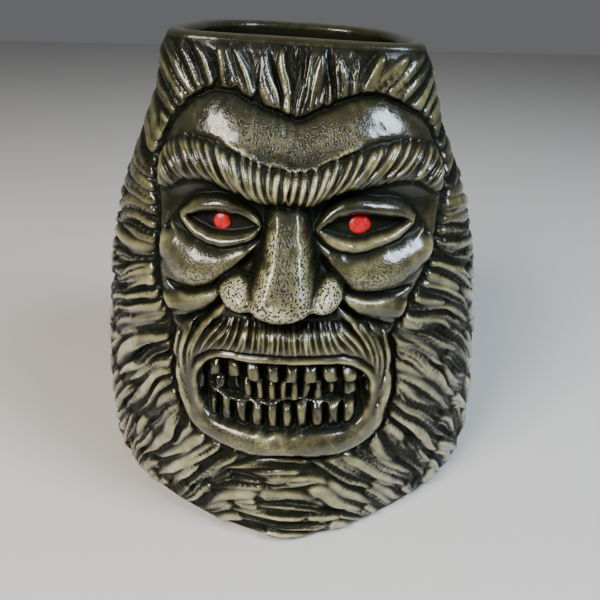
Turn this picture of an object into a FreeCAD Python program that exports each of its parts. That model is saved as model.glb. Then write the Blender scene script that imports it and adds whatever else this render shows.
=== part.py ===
"""Glazed ceramic mug shaped as a snarling wild man's head: a hollow vessel with a face, a mane and a beard.

Millimetres. The face looks along -Y, +Z is up, and the origin is the centre of the box at the foot.
A polar section formula gives the vessel's outside, and every sprig is laid on that surface.
"""
import math
import os

import FreeCAD
import Part

Vec = FreeCAD.Vector

# --- driving dimensions of the vessel ---------------------------------------------------------
WALL = 5.0              # thickness of the cast wall
FLOOR = 6.0             # thickness of the cast floor, above the dry foot
FOOT = 1.2              # thickness of the unglazed foot
FOOT_INSET = 3.5        # how far the dry foot stands in from the base edge
RIM_Z = 141.9           # rim height on the axis of the mouth
RIM_Y = 11.5            # the middle of the mouth, front to back
RIM_SLOPE_X = -0.033    # the hand-finished rim falls slightly to one side
RIM_SLOPE_Y = 0.012     # and rises a little to the back
LIP_R = 2.8             # radius of the rolled lip, a little over half the wall
LIP_TURNS = (0, 14, 28, 42, 56, 70, 83)     # where round the bead its lines run, in degrees
LIP_EDGES = 4           # how many curves make up each of those lines

# height, half width, front depth, back depth, front and back superellipse exponents
PROFILE = (
    (FOOT, 62.2, 48.6, 46.6, 1.52, 2.1),
    (5.0, 62.8, 48.8, 47.2, 1.53, 2.1),
    (22.0, 62.6, 48.0, 48.2, 1.62, 2.1),
    (50.0, 60.0, 43.0, 48.6, 1.82, 2.1),
    (78.0, 55.5, 37.5, 47.6, 2.05, 2.15),
    (98.0, 50.0, 32.2, 46.0, 2.25, 2.2),
    (114.0, 42.5, 26.6, 44.3, 2.70, 2.3),
    (128.0, 36.8, 21.4, 42.6, 3.20, 2.5),
    (150.0, 34.4, 14.4, 40.8, 3.80, 2.7),
)
SECTION_POINTS = 28
BOX_TOLERANCE = 0.1     # how closely the box round everything is measured
BACK_CLEAR = 0.15       # gap between a sprig's flat back and the curved surface it stands on
LOFT_HEIGHTS = (FOOT, 3.0, 6.0, 14.0, 26.0, 40.0, 55.0, 70.0, 84.0, 96.0, 107.0, 118.0, 130.0, 150.0)

# --- driving dimensions of the face -----------------------------------------------------------
SKIN = 2.4              # the face plate's thickness over the vessel
# right half of the face plate's outline from the hairline to the chin: x, z
FACE_OUTLINE = (
    (0.0, 121.0), (9.0, 124.5), (18.0, 126.5), (28.0, 120.0), (35.0, 107.0), (36.5, 92.0),
    (34.0, 76.0), (31.5, 61.0), (30.0, 47.0), (22.0, 36.5), (0.0, 33.0),
)
EYE_X, EYE_Z = 18.0, 98.5
EYEBALL_R = 9.0
EYEBALL_LIFT = 2.6      # how far the eyeball's front stands out of the vessel
SOCKET = (11.5, 14.0, 6.4)      # radii of the hollow cut for each eye
SOCKET_Y = -31.5
IRIS_R = 3.1
IRIS_THICK = 0.35
IRIS_SHIFT = Vec(-0.3, 0, -0.6)     # the eyes look inwards and down
LID_R = 1.7
LID_HALF_W = 10.5
UPPER_LID_RISE, LOWER_LID_RISE = 5.0, -4.2
LID_LIFT = 2.9
LID_SHAPE = (0.45, 0.85, 1.0, 1.05, 1.0, 0.85, 0.45)    # thickness from corner to corner
CHEEK_AT, CHEEK = (25.0, 87.0, 0.8), (11.5, 6.4, 8.6)   # x, z and lift of its middle; its radii
FRONT_BLOCK = (-4.0, -70.0)     # back and front of the blocks that outlines are cut with
MOUTH_Z = 52.0
MOUTH_HALF_W, MOUTH_HALF_H = 25.5, 13.0
MOUTH_CORNER_R = 9.0
TEETH = 9
TOOTH_HEIGHT = 4.2
# place from root to biting end, and a tooth's half width and height there as shares
TOOTH_SHAPE = ((0.0, 0.34, 0.6), (0.3, 0.43, 0.9), (0.8, 0.45, 1.0), (1.0, 0.30, 0.5))
UPPER_TEETH = (64.0, 51.5)      # heights of the roots and of the biting ends
LOWER_TEETH = (40.5, 50.5)
BRISTLES = 9            # moustache bristles on each side of the nose
BRISTLE = 7.5           # length of one bristle
BRISTLE_HALF_W = 1.7
BRISTLE_HEIGHT = 3.4
BRISTLE_FAN = (90.0, -10.0)     # directions of the first and the last bristle, in degrees
BRISTLE_RING = (24.0, 14.5)     # radii of the ellipse round the mouth where they end
BRISTLE_SHAPE = ((0.0, 0.5), (0.35, 1.0), (0.7, 0.9), (1.0, 0.4))
# right half of the brow and of both lips: x, z, half width and height of the roll
BROW_HALF = (
    (0.0, 107.0, 5.6, 7.0), (8.0, 109.0, 6.0, 7.4), (17.0, 112.5, 5.6, 6.4), (25.0, 113.0, 5.0, 5.2),
    (30.5, 110.0, 3.8, 3.6), (33.0, 106.5, 1.2, 1.4),
)
# x, z, half width and height of the nose from the bridge to the tip, and of its right wing
NOSE_RIDGE = (
    (0.0, 103.0, 4.2, 3.0), (0.0, 97.0, 4.8, 6.0), (0.0, 90.5, 6.0, 9.5), (0.0, 85.0, 7.6, 12.4),
    (0.0, 80.0, 7.8, 12.6), (0.0, 76.5, 5.6, 7.0),
)
NOSE_WING = (
    (5.0, 90.5, 3.4, 4.0), (10.0, 87.5, 5.4, 7.2), (12.2, 82.0, 5.2, 8.0), (9.5, 77.5, 3.6, 5.6),
    (5.0, 76.0, 2.4, 4.0),
)
NOSTRIL_X, NOSTRIL_Z, NOSTRIL = 9.6, 75.8, (3.0, 3.6, 2.4)
UPPER_LIP_HALF = (
    (0.0, 67.0, 3.2, 5.0), (10.0, 67.2, 3.3, 5.0), (20.0, 66.0, 3.2, 4.6), (26.5, 61.0, 2.8, 4.0),
    (29.0, 54.0, 2.2, 3.0),
)
LOWER_LIP_HALF = (
    (0.0, 37.2, 3.8, 6.6), (10.0, 37.2, 3.8, 6.2), (20.0, 38.6, 3.4, 5.2), (26.5, 43.5, 2.8, 4.0),
    (29.0, 51.0, 2.2, 3.0),
)

# --- driving dimensions of the hair -----------------------------------------------------------
LOCK_PITCH = 6.0        # width kept for each lock of hair
LOCK_LENGTH = 26.0
LOCK_HEIGHT = 3.0       # how far a lock stands out of the vessel
LOCK_STEP = 4.0         # distance between a lock's sections
LOCK_COLUMN = 1.5       # degrees between the columns of places where a lock may start
LOCK_DROP = 0.8         # height between one such place and the next
LOCK_ROOM = 0.41        # a lock's claim to each side, as a share of the pitch
LOCK_WIDTHS = ((0.0, 0.5), (0.2, 0.92), (0.5, 1.0), (0.78, 0.8), (1.0, 0.2))
LOCK_HEIGHTS = ((0.0, 0.6), (0.3, 1.0), (0.7, 0.9), (1.0, 0.25))
CROWN_STRANDS = 7       # upright strands over the forehead, on each side of the middle
CROWN_PITCH = 4.3
CROWN_LEAN = 0.10       # how much further out a strand ends, as a share of its x
CROWN_TOP_GAP = 5.0     # from the strands' ends to the rim
# place along a strand, and its width and height there as shares
CROWN_SHAPE = ((0.0, 0.35, 0.5), (0.25, 0.95, 1.0), (0.65, 0.9, 0.9), (1.0, 0.3, 0.3))
HAIRLINE = ((0.0, 122.0), (9.0, 125.5), (18.0, 127.5), (28.0, 122.0), (32.0, 116.0))
BEARD_ARCHES = 4
BEARD_TOP = 28.5
# right half of an arched strand: x, drop, and its width and height there as shares
BEARD_SHAPE = ((0.0, 0.0, 1.0, 1.0), (6.5, -1.2, 0.9, 0.9), (12.0, -4.6, 0.2, 0.3))
BACK_FROM = 38.0        # polar angle at which the mane becomes the hair of the back
# height, and degrees above the horizontal that the hair runs at the sides
HAIR_BY_HEIGHT = (
    (15.0, -50.0), (30.0, -50.0), (45.0, -40.0), (60.0, -33.0), (75.0, -33.0), (90.0, -20.0),
    (100.0, -5.0), (110.0, 15.0), (120.0, 40.0), (130.0, 70.0),
)


# --- the vessel's outside as a formula --------------------------------------------------------
def profile_at(z):
    """Half width, front depth, back depth and both exponents at height z, by a cubic through PROFILE."""
    rows = PROFILE
    z = min(max(z, rows[0][0]), rows[-1][0])
    k = max(i for i in range(len(rows) - 1) if rows[i][0] <= z)
    low, high = rows[k], rows[k + 1]
    before, after = rows[max(k - 1, 0)], rows[min(k + 2, len(rows) - 1)]
    span = high[0] - low[0]
    t = (z - low[0]) / span
    values = []
    for column in range(1, 6):
        slope_low = (high[column] - before[column]) / (high[0] - before[0]) * span
        slope_high = (after[column] - low[column]) / (after[0] - low[0]) * span
        values.append(
            (2 * t**3 - 3 * t**2 + 1) * low[column] + (t**3 - 2 * t**2 + t) * slope_low
            + (3 * t**2 - 2 * t**3) * high[column] + (t**3 - t**2) * slope_high
        )
    return values


def outside(angle, z, grow=0.0):
    """The point of the vessel's outside at a polar angle (-90 degrees is the front) and height."""
    half, front, back, n_front, n_back = profile_at(z)
    depth, n = (front, n_front) if math.sin(angle) < 0 else (back, n_back)
    c, s = abs(math.cos(angle)), abs(math.sin(angle))
    r = ((c / (half + grow)) ** n + (s / (depth + grow)) ** n) ** (-1.0 / n)
    return Vec(r * math.cos(angle), r * math.sin(angle), z)


def outward(angle, z):
    """The unit normal of the vessel's outside."""
    step = 1e-3
    across = outside(angle + step, z) - outside(angle - step, z)
    up = outside(angle, z + 0.1) - outside(angle, z - 0.1)
    normal = across.cross(up)
    return normal.normalize()


def angle_of(x, z):
    """The polar angle at which the front of the vessel has that x."""
    low, high = math.radians(-179.0), math.radians(-1.0)
    for _ in range(40):
        middle = (low + high) / 2
        if outside(middle, z).x < x:
            low = middle
        else:
            high = middle
    return (low + high) / 2


def on_front(x, z, lift=0.0):
    """The point lift mm in front of the vessel's outside, at x and z."""
    angle = angle_of(x, z)
    return outside(angle, z) + Vec(0, -lift, 0)


def section_wire(z, grow):
    points = [outside(2 * math.pi * i / SECTION_POINTS, z, grow) for i in range(SECTION_POINTS)]
    curve = Part.BSplineCurve()
    curve.interpolate(Points=points, PeriodicFlag=True)
    return Part.Wire([curve.toShape()])


def body_solid(grow, low=FOOT):
    """The vessel's outside as one solid, grown or shrunk, from the height low to above the rim."""
    heights = [low] + [z for z in LOFT_HEIGHTS if z > low + 1.5]
    return Part.makeLoft([section_wire(z, grow) for z in heights], True, False)


# --- helpers ----------------------------------------------------------------------------------
def ellipse_wire(centre, along, wide, wide_r, thin_r):
    """An ellipse square to along, with its radius wide_r in the direction wide."""
    across = (wide - along * wide.dot(along)).normalize()
    other = along.cross(across).normalize()
    if wide_r > thin_r:
        curve = Part.Ellipse(centre + across * wide_r, centre + other * thin_r, centre)
    else:
        curve = Part.Ellipse(centre + other * (thin_r * 1.001), centre + across * wide_r, centre)
    return Part.Wire([curve.toShape()])


def tube(points, wide_radii, thin_radii, normals):
    """A solid through ellipses at the points; normals give each ellipse's thin direction."""
    wires = []
    for i, point in enumerate(points):
        along = (points[min(i + 1, len(points) - 1)] - points[max(i - 1, 0)]).normalize()
        wide = normals[i].cross(along).normalize()
        wires.append(ellipse_wire(point, along, wide, wide_radii[i], thin_radii[i]))
    return Part.makeLoft(wires, True, False)


def ellipsoid(centre, radii):
    ball = Part.makeSphere(1.0)
    matrix = FreeCAD.Matrix()
    matrix.scale(radii[0], radii[1], radii[2])
    shape = ball.transformGeometry(matrix)
    shape.translate(centre)
    return shape


def mirrored(shape):
    return shape.mirror(Vec(0, 0, 0), Vec(1, 0, 0))


def backed_section(angle, z, along, half_width, height, grow=0.0):
    """A flat-backed section standing on the outside grown by grow, just clear of it."""
    normal = outward(angle, z)
    foot = outside(angle, z, grow) + normal * BACK_CLEAR
    across = normal.cross(along).normalize()
    left, right = foot - across * half_width, foot + across * half_width
    arc = Part.Arc(left, foot + normal * height, right).toShape()
    return Part.Wire([arc, Part.LineSegment(right, left).toShape()])


def strip(stations, grow):
    """A flat-backed roll on the front through rows of x, z, half width and height."""
    angles = [angle_of(x, z) for x, z, _, _ in stations]
    places = [outside(angle, row[1], grow) for angle, row in zip(angles, stations)]
    wires = []
    for i, (_, z, half_width, height) in enumerate(stations):
        along = (places[min(i + 1, len(places) - 1)] - places[max(i - 1, 0)]).normalize()
        wires.append(backed_section(angles[i], z, along, half_width, height, grow))
    return Part.makeLoft(wires, True, False)


def both_ways(half):
    """Rows for the whole width from the rows of the right half, which start at x 0."""
    return [(-row[0],) + tuple(row[1:]) for row in reversed(half[1:])] + list(half)


def front_prism(outline, back, front):
    """A closed smooth outline in X and Z, extruded along Y from back to front."""
    points = [Vec(x, back, z) for x, z in outline]
    points += [Vec(-x, back, z) for x, z in reversed(outline[1:-1])]
    curve = Part.BSplineCurve()
    curve.interpolate(Points=points, PeriodicFlag=True)
    return Part.Face(Part.Wire([curve.toShape()])).extrude(Vec(0, front - back, 0))


# --- the vessel -------------------------------------------------------------------------------
def rim_frame(drop):
    """The rim's sloping plane, lowered by drop: its placement, with +Z out of the mouth."""
    normal = Vec(-RIM_SLOPE_X, -RIM_SLOPE_Y, 1.0)
    return FreeCAD.Placement(Vec(0, RIM_Y, RIM_Z - drop), FreeCAD.Rotation(Vec(0, 0, 1), normal))


def above_rim(drop):
    """A block that takes away everything above the sloping rim."""
    block = Part.makeBox(300, 300, 60, Vec(-150, -150, 0))
    block.Placement = rim_frame(drop)
    return block


def lip_ring(rise, inward):
    """A closed line parallel to the rim's plane: rise above the wall's top, inward of its outside."""
    points = []
    for i in range(SECTION_POINTS):
        point = outside(2 * math.pi * i / SECTION_POINTS, RIM_Z - LIP_R + rise, -inward)
        point.z = rim_height(point) - LIP_R + rise
        points.append(point)
    curve = Part.BSplineCurve()
    curve.interpolate(Points=points, PeriodicFlag=True)
    first, span = curve.FirstParameter, curve.LastParameter - curve.FirstParameter
    cuts = [first + span * k / LIP_EDGES for k in range(LIP_EDGES + 1)]
    return Part.Wire([curve.toShape(low, high) for low, high in zip(cuts, cuts[1:])])


def make_lip():
    """The rolled lip: a half-round bead on top of the wall, on the rim's sloping plane."""
    turns = [math.radians(angle) for angle in LIP_TURNS]
    over = [lip_ring(LIP_R * math.sin(t), WALL / 2 - LIP_R * math.cos(t)) for t in turns]
    within = [lip_ring(LIP_R * math.sin(t), WALL / 2 + LIP_R * math.cos(t)) for t in turns]
    top_inward = WALL / 2 + LIP_R * math.cos(turns[-1])
    below, above = lip_ring(-1.0, WALL / 2 + LIP_R), lip_ring(LIP_R + 1.0, top_inward)
    bead = Part.makeLoft(over, True, False)
    return bead.cut(Part.makeLoft([below] + within + [above], True, False))


def make_vessel(outer):
    """The hollow cast body, open at the top, flat where the rolled lip sits on it."""
    cavity = body_solid(-WALL, FOOT + FLOOR)
    return outer.cut(cavity).cut(above_rim(LIP_R))


def make_foot():
    """The unglazed foot: a thin plate of bare clay that the mug stands on."""
    drop = Vec(0, 0, FOOT)
    points = [
        outside(2 * math.pi * i / SECTION_POINTS, FOOT, -FOOT_INSET) - drop for i in range(SECTION_POINTS)
    ]
    curve = Part.BSplineCurve()
    curve.interpolate(Points=points, PeriodicFlag=True)
    return Part.Face(Part.Wire([curve.toShape()])).extrude(drop)


# --- the face ---------------------------------------------------------------------------------
def rounded_slot(half_w, half_h, radius, z):
    """A rounded rectangle in the X Z plane, as a closed wire about the height z, at y 0."""
    w, h, r, k = half_w, half_h, radius, radius * (1 - math.sqrt(0.5))
    corners = []
    for sx, sz in ((1, -1), (1, 1), (-1, 1), (-1, -1)):
        start = Vec(sx * (w - r), 0, z + sz * h)
        end = Vec(sx * w, 0, z + sz * (h - r))
        if sx * sz > 0:
            start, end = end, start
        corners.append((start, Vec(sx * (w - k), 0, z + sz * (h - k)), end))
    edges = []
    for i, (start, middle, end) in enumerate(corners):
        edges.append(Part.Arc(start, middle, end).toShape())
        edges.append(Part.LineSegment(end, corners[(i + 1) % 4][0]).toShape())
    return Part.Wire(edges)


def mouth_hole():
    """The mouth's opening as a block along Y."""
    back, front = FRONT_BLOCK
    wire = rounded_slot(MOUTH_HALF_W, MOUTH_HALF_H, MOUTH_CORNER_R, MOUTH_Z)
    wire.translate(Vec(0, back, 0))
    return Part.Face(wire).extrude(Vec(0, front - back, 0))


def make_face_plate(outer):
    """The skin of the forehead, temples and jaw: a plate SKIN thick on the vessel."""
    grown = body_solid(SKIN)
    plate = grown.common(front_prism(FACE_OUTLINE, *FRONT_BLOCK)).cut(outer)
    plate = plate.cut(mouth_hole())
    for side in (-1, 1):
        plate = plate.cut(ellipsoid(Vec(side * EYE_X, SOCKET_Y, EYE_Z), SOCKET))
    return plate


def make_brow():
    """One roll of hair over both eyes, dipping in a V over the nose."""
    return strip(both_ways(BROW_HALF), SKIN)


def make_nose():
    """The ridge with its broad tip, and a wing on each side with its nostril."""
    nose = strip(NOSE_RIDGE, SKIN)
    for side in (-1, 1):
        wing = strip([(side * x, z, w, h) for x, z, w, h in NOSE_WING], SKIN)
        nose = nose.fuse(wing)
    for side in (-1, 1):
        nose = nose.cut(ellipsoid(on_front(side * NOSTRIL_X, NOSTRIL_Z, SKIN + 6.0), NOSTRIL))
    return nose


def make_cheek(outer, plate, nose):
    """The full cheek under one eye."""
    cheek = ellipsoid(on_front(*CHEEK_AT), CHEEK)
    return cheek.cut(outer).cut(plate).cut(nose)


def make_eyeball(outer):
    ball = Part.makeSphere(EYEBALL_R, on_front(EYE_X, EYE_Z, EYEBALL_LIFT - EYEBALL_R))
    return ball.cut(outer)


def make_iris():
    """A thin disc of red enamel on the eyeball."""
    centre = on_front(EYE_X, EYE_Z, EYEBALL_LIFT - EYEBALL_R)
    cap = Part.makeSphere(EYEBALL_R + IRIS_THICK, centre).cut(Part.makeSphere(EYEBALL_R, centre))
    rod = Part.makeCylinder(IRIS_R, 2 * EYEBALL_R, centre + IRIS_SHIFT, Vec(0, -1, 0))
    return cap.common(rod)


def make_lid(outer, ball, rise):
    """One eyelid: a fleshy roll from the inner corner of the eye to the outer one."""
    points = []
    for i in range(len(LID_SHAPE)):
        t = i / (len(LID_SHAPE) - 1)
        x = EYE_X + LID_HALF_W * (2 * t - 1)
        z = EYE_Z - 1.5 + 2.5 * t + rise * math.sin(math.pi * t)
        points.append(on_front(x, z, LID_LIFT - 0.8 * (2 * t - 1) ** 2))
    radii = [LID_R * share for share in LID_SHAPE]
    lid = tube(points, radii, radii, [Vec(0, -1, 0)] * len(points))
    return lid.cut(outer).cut(ball)


def make_teeth(z_root, z_tip):
    """A row of separate rounded teeth across the mouth, from root to biting end."""
    width = 2 * (MOUTH_HALF_W - 3.0) / TEETH
    teeth = []
    for i in range(TEETH):
        x = width * (i - (TEETH - 1) / 2)
        long = 1.0 - 0.30 * (x / MOUTH_HALF_W) ** 2 + 0.06 * (-1) ** i
        reach = (z_tip - z_root) * long
        rows = [
            (x, z_root + reach * t, width * wide, TOOTH_HEIGHT * high)
            for t, wide, high in TOOTH_SHAPE
        ]
        teeth.append(strip(rows, 0.0))
    return Part.makeCompound(teeth)


def make_moustache():
    """Bristles that fan out from the nose round the upper lip and down beside the mouth."""
    bristles = []
    for i in range(BRISTLES):
        t = (i + 0.5) / BRISTLES
        swing = math.radians(BRISTLE_FAN[0] + (BRISTLE_FAN[1] - BRISTLE_FAN[0]) * t ** 1.15)
        inner_x = BRISTLE_RING[0] * (math.cos(swing) + 0.28 * t)
        inner = (inner_x, MOUTH_Z + 4.0 + BRISTLE_RING[1] * math.sin(swing))
        outer = (inner[0] + BRISTLE * math.cos(swing) * 0.75, inner[1] + BRISTLE * math.sin(swing))
        rows = []
        for u, wide in BRISTLE_SHAPE:
            x, z = (outer[k] + (inner[k] - outer[k]) * u for k in (0, 1))
            rows.append((x, z, BRISTLE_HALF_W * wide, BRISTLE_HEIGHT * (0.5 + 0.5 * wide)))
        bristle = strip(rows, SKIN)
        bristles += [bristle, mirrored(bristle)]
    return Part.makeCompound(bristles)


# --- the hair ---------------------------------------------------------------------------------
def blend(table, value):
    """A straight-line look-up in a table of rising values."""
    if value <= table[0][0]:
        return table[0][1]
    for (low, a), (high, b) in zip(table, table[1:]):
        if value <= high:
            return a + (b - a) * (value - low) / (high - low)
    return table[-1][1]


def hair_direction(angle, z):
    """Degrees above the horizontal that the hair runs, away from the face, on the right half."""
    point = outside(angle, z)
    side = blend(HAIR_BY_HEIGHT, z)
    if point.y < 0 and z > 108.0:
        upright = max(0.0, 1.0 - point.x / 34.0)
        side += (90.0 - side) * upright
    if point.y < 0 and z < 36.0:
        side *= min(1.0, point.x / 28.0)
    turn = min(max((math.degrees(angle) + 15.0) / 85.0, 0.0), 1.0)
    turn = turn * turn * (3 - 2 * turn)
    return side + (-90.0 - side) * turn


def rim_height(point):
    return RIM_Z + RIM_SLOPE_X * point.x + RIM_SLOPE_Y * (point.y - RIM_Y)


def face_gap(point):
    """Distance in the front view from the face's outline, less than zero inside the face."""
    if point.y > 0:
        return 99.0
    inside, gap = False, 99.0
    outline = list(FACE_OUTLINE) + [(-x, z) for x, z in reversed(FACE_OUTLINE)]
    for (x0, z0), (x1, z1) in zip(outline, outline[1:] + outline[:1]):
        if (z0 > point.z) != (z1 > point.z):
            if point.x < x0 + (point.z - z0) * (x1 - x0) / (z1 - z0):
                inside = not inside
        dx, dz = x1 - x0, z1 - z0
        length = dx * dx + dz * dz + 1e-9
        t = min(max(((point.x - x0) * dx + (point.z - z0) * dz) / length, 0.0), 1.0)
        gap = min(gap, math.hypot(point.x - x0 - t * dx, point.z - z0 - t * dz))
    return -gap if inside else gap


def has_room(point, radius, taken):
    if point.x < radius or face_gap(point) < radius:
        return False
    if point.z < FOOT + radius * 0.7 or point.z > rim_height(point) - LIP_R - radius * 0.6:
        return False
    for other, other_radius in taken:
        reach = radius + other_radius
        if abs(point.z - other.z) < reach and point.distanceToPoint(other) < reach:
            return False
    return True


def grow_lock(angle, z, taken):
    """Follow the hair from a root until the lock is full length or meets something."""
    track = []
    for step in range(int(LOCK_LENGTH / LOCK_STEP) + 1):
        point = outside(angle, z)
        if not has_room(point, LOCK_PITCH * (0.3 if step == 0 else LOCK_ROOM), taken):
            break
        track.append((angle, z))
        heading = math.radians(hair_direction(angle, z))
        around = (outside(angle + 0.01, z) - point).Length / 0.01
        angle += math.cos(heading) * LOCK_STEP / around
        z += math.sin(heading) * LOCK_STEP
    return track


def crown_rows():
    """Rows of each upright strand over the forehead, on the right half."""
    strands = []
    for i in range(CROWN_STRANDS):
        x = CROWN_PITCH * (i + 0.5)
        low = blend(HAIRLINE, x)
        rise = RIM_Z - CROWN_TOP_GAP - low
        strands.append([
            (x * (1 + CROWN_LEAN * t), low + rise * t, CROWN_PITCH / 2 * wide, LOCK_HEIGHT * high)
            for t, wide, high in CROWN_SHAPE
        ])
    return strands


def beard_rows():
    """Rows of each arched strand across the middle of the beard."""
    arches = []
    for i in range(BEARD_ARCHES):
        z = BEARD_TOP - LOCK_PITCH * i
        arches.append([
            (x, z + drop, LOCK_PITCH / 2 * wide, LOCK_HEIGHT * high)
            for x, drop, wide, high in both_ways(BEARD_SHAPE)
        ])
    return arches


def lay_locks():
    """Roots of the locks on the right half, from the face backwards, each in the first free place."""
    taken, locks = [], []
    for rows in crown_rows() + beard_rows():
        taken += [(on_front(x, z), half_width) for x, z, half_width, _ in rows if x >= 0]
    for column in range(int(180.0 / LOCK_COLUMN)):
        angle = math.radians(-90.0 + LOCK_COLUMN * (column + 0.5))
        z = RIM_Z
        while z > FOOT:
            track = grow_lock(angle, z, taken)
            if len(track) * LOCK_STEP > LOCK_LENGTH * 0.42:
                locks.append(track)
                taken += [(outside(a, h), LOCK_PITCH * LOCK_ROOM) for a, h in track]
            z -= LOCK_DROP
    return locks


def make_lock(track):
    """One leaf-shaped lock of hair: blunt at its root, widest in the middle, pointed at its end."""
    places = [outside(a, z) for a, z in track]
    wires = []
    last = len(track) - 1
    for i, (angle, z) in enumerate(track):
        along = (places[min(i + 1, last)] - places[max(i - 1, 0)]).normalize()
        t = i / last
        wide = blend(LOCK_WIDTHS, t) * LOCK_PITCH / 2
        high = blend(LOCK_HEIGHTS, t) * LOCK_HEIGHT
        wires.append(backed_section(angle, z, along, wide, high))
    return Part.makeLoft(wires, True, False)


def hair_region(track):
    """Which group of hair a lock belongs to, by its middle."""
    angle, z = track[len(track) // 2]
    point = outside(angle, z)
    if math.degrees(angle) > BACK_FROM:
        return "back_hair"
    if z < 35.0 and point.x < 27.0 and point.y < 0:
        return "beard"
    if z > 112.0 and point.y < 0:
        return "crown_hair"
    return "mane"


def make_hair():
    """Every group of locks: the crown, both manes, the back and the beard."""
    groups = {"crown_hair": [], "mane": [], "back_hair": [], "beard": []}
    arches = [strip(rows, 0.0) for rows in beard_rows()]
    for rows in crown_rows():
        groups["crown_hair"].append(strip(rows, 0.0))
    for track in lay_locks():
        groups[hair_region(track)].append(make_lock(track))
    shapes = {}
    for name, locks in groups.items():
        if name == "mane":
            shapes["right_mane"] = Part.makeCompound(locks)
            shapes["left_mane"] = Part.makeCompound([mirrored(lock) for lock in locks])
        else:
            middle = arches if name == "beard" else []
            shapes[name] = Part.makeCompound(middle + locks + [mirrored(lock) for lock in locks])
    return shapes


def box_of(shapes):
    """The box round the shapes' real surfaces: least and greatest corner."""
    points = [point for shape in shapes for point in shape.tessellate(BOX_TOLERANCE)[0]]
    least = Vec(min(p.x for p in points), min(p.y for p in points), min(p.z for p in points))
    greatest = Vec(max(p.x for p in points), max(p.y for p in points), max(p.z for p in points))
    return least, greatest


def main():
    os.makedirs("parts", exist_ok=True)
    outer = body_solid(0.0)
    plate = make_face_plate(outer)
    nose = make_nose()
    ball = make_eyeball(outer)
    shapes = {
        "vessel": make_vessel(outer),
        "rim_lip": make_lip(),
        "dry_foot": make_foot(),
        "face_plate": plate,
        "nose": nose,
        "brow": make_brow(),
        "upper_lip": strip(both_ways(UPPER_LIP_HALF), SKIN),
        "lower_lip": strip(both_ways(LOWER_LIP_HALF), SKIN),
        "moustache": make_moustache(),
        "upper_teeth": make_teeth(*UPPER_TEETH),
        "lower_teeth": make_teeth(*LOWER_TEETH),
    }
    pairs = {
        "cheek": make_cheek(outer, plate, nose),
        "eyeball": ball,
        "iris": make_iris(),
        "upper_lid": make_lid(outer, ball, UPPER_LID_RISE),
        "lower_lid": make_lid(outer, ball, LOWER_LID_RISE),
    }
    for name, shape in pairs.items():
        shapes["right_" + name] = shape
        shapes["left_" + name] = mirrored(shape)
    shapes.update(make_hair())
    least, greatest = box_of(shapes.values())
    centre = Vec((least.x + greatest.x) / 2, (least.y + greatest.y) / 2, least.z)
    for name, shape in shapes.items():
        shape.translate(-centre)
        shape.exportStep("parts/" + name + ".step")
        print(name, shape.isValid(), len(shape.Solids), round(shape.Volume))
    print("box", greatest - least, "moved by", -centre)


main()
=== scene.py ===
"""A glazed ceramic mug shaped as a fierce wild man's head, modelled as a relief on the cast vessel.

The relief is a height in millimetres over the vessel's outside, on a fine grid of rows (height) and
columns (polar angle). Every form is added to that grid, which is then cut into one skin per CAD node.
"""
import math

import bpy
import numpy as np
from mathutils import Euler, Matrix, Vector
from mathutils.bvhtree import BVHTree
from mathutils.geometry import delaunay_2d_cdt


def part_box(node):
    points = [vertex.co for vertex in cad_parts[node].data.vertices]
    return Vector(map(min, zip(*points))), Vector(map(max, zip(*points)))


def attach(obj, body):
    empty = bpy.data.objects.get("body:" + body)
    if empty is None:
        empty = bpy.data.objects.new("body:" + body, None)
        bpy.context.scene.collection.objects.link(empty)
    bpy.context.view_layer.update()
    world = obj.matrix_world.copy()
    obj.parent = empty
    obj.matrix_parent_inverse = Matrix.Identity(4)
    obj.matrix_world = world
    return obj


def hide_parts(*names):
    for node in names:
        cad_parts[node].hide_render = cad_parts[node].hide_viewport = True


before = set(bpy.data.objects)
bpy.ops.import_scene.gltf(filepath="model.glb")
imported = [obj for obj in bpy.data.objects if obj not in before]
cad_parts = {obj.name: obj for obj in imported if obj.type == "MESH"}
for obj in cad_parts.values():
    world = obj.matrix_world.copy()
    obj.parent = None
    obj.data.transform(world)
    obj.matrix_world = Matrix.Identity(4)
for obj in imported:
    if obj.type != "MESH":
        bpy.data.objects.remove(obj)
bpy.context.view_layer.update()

MM = 0.001

# --- places read from the frame, in millimetres ---
def middle_and_half(*names):
    """Middle and half size of the box round the named CAD nodes."""
    boxes = [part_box(name) for name in names]
    low = np.min([np.array(b[0]) for b in boxes], axis=0) / MM
    high = np.max([np.array(b[1]) for b in boxes], axis=0) / MM
    return (low + high) / 2, (high - low) / 2


IRIS_MIDDLE, IRIS_HALF = middle_and_half("right_iris")
EYE_X, EYE_Z = IRIS_MIDDLE[0] + 1.0, IRIS_MIDDLE[2] + 0.6
NOSE_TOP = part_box("nose")[1][2] / MM
TEETH_MIDDLE, TEETH_HALF = middle_and_half("upper_teeth", "lower_teeth")
MOUTH_Z = TEETH_MIDDLE[2] - 0.4
MOUTH_HALF_W = TEETH_HALF[0] + 0.6
MOUTH_HALF_H = TEETH_HALF[2] - 1.9
RIM_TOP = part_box("rim_lip")[1][2] / MM
RIM_MIDDLE = middle_and_half("rim_lip")[0]
FOOT_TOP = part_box("dry_foot")[1][2] / MM

# --- sizes of the cast body ---
WALL = 5.0
FLOOR = 6.0
LIP_R = 2.8             # half the rolled lip's width
LIP_HIGH = 1.8          # how far the hair stays under the lip's top
LIP_INSIDE = 4.0        # how far the lip's glaze runs down inside
RIM_RISE = 1.30         # from the rim's middle up to its highest place
RIM_SLOPE_X, RIM_SLOPE_Y = -0.033, 0.012
HAIR_LIMIT = 3.3        # the most that the hair stands out of the vessel
SKIN_BACK = 0.5         # how far behind the vessel's outside each relief skin reaches
BACK_STEP_CELLS = 9     # grid cells between the points of a skin's hidden back
ROW_STEP = 0.36         # the relief grid's spacing in height
FRONT_STEP, BACK_STEP = 0.36, 0.55      # and around, at the front and the back


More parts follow.
